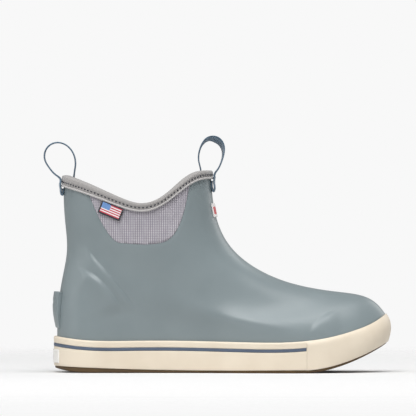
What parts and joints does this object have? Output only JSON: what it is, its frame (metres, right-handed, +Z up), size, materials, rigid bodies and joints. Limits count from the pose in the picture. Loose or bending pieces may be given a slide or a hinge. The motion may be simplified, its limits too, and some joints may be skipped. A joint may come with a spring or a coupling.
{
  "type": "deck boot",
  "caption": "Pull-on rubber ankle boot with stretch side gores, foxed non-slip sole, bound collar and two swinging pull loops.",
  "frame": {"origin": "on the ground, on the flat arch of the outsole, under the middle of the boot's length", "axes": "+X towards the toe, +Y towards the inner side of the right foot, +Z up"},
  "size_m": [0.3055, 0.1059, 0.2081],
  "materials": {
    "grey_rubber": "satin grey moulded rubber",
    "inner_rubber": "matt black rubber",
    "white_rubber": "matt off-white rubber",
    "badge_rubber": "smooth white rubber",
    "blue_rubber": "matt slate-blue rubber",
    "gum_rubber": "matt gum rubber",
    "lining_foam": "dark knit on foam",
    "gore_mesh": "mauve-grey stretch mesh with a square grid",
    "collar_fabric": "warm grey stretch binding",
    "piping_fabric": "light grey corded piping",
    "thread": "dark sewing thread",
    "loop_webbing": "slate-blue woven webbing",
    "filler_foam": "light grey sponge rubber",
    "board": "brown fibre board",
    "footbed_foam": "dark blue fabric on foam",
    "woven_label": "woven label"
  },
  "bodies": {
    "root": {"outsole": "gum_rubber", "midsole_filler": "filler_foam", "foxing_band": "white_rubber", "foxing_stripe": "blue_rubber", "toe_bumper": "white_rubber", "heel_badge": "badge_rubber", "rubber_upper": "grey_rubber", "lining": "lining_foam", "gore_panel_lateral": "gore_mesh", "gore_panel_medial": "gore_mesh", "heel_counter": "inner_rubber", "toe_puff": "inner_rubber", "collar_band": "collar_fabric", "collar_piping": "piping_fabric", "collar_stitch_thread": "thread", "lasting_board": "board", "heel_kick_tab": "grey_rubber", "heel_loop_outer_tail": "loop_webbing", "heel_loop_inner_tail": "loop_webbing", "front_loop_outer_tail": "loop_webbing", "front_loop_inner_tail": "loop_webbing", "front_label": "woven_label"},
    "heel_loop": {"heel_pull_loop": "loop_webbing"},
    "front_loop": {"front_pull_loop": "loop_webbing"},
    "label_flap": {"side_label": "woven_label"},
    "insole": {"footbed": "footbed_foam"}
  },
  "joints": [
    {"name": "heel_loop_swing", "type": "hinge", "parent": "root", "child": "heel_loop", "pos_m": [-0.14289, 0, 0.16865], "axis": [0, -1, 0], "range_deg": [-20, 40], "stiffness_Nm_per_rad": 0.02},
    {"name": "front_loop_swing", "type": "hinge", "parent": "root", "child": "front_loop", "pos_m": [-0.00703, 0, 0.17153], "axis": [0, 1, 0], "range_deg": [-20, 40], "stiffness_Nm_per_rad": 0.02},
    {"name": "label_flip", "type": "hinge", "parent": "root", "child": "label_flap", "pos_m": [-0.09659, -0.04466, 0.14658], "axis": [-0.9067, 0.188, 0.3775], "range_deg": [0, 75], "stiffness_Nm_per_rad": 0.0002},
    {"name": "footbed_lift", "type": "slide", "parent": "root", "child": "insole", "axis": [0, 0, 1], "range_m": [0, 0.006]}
  ]
}
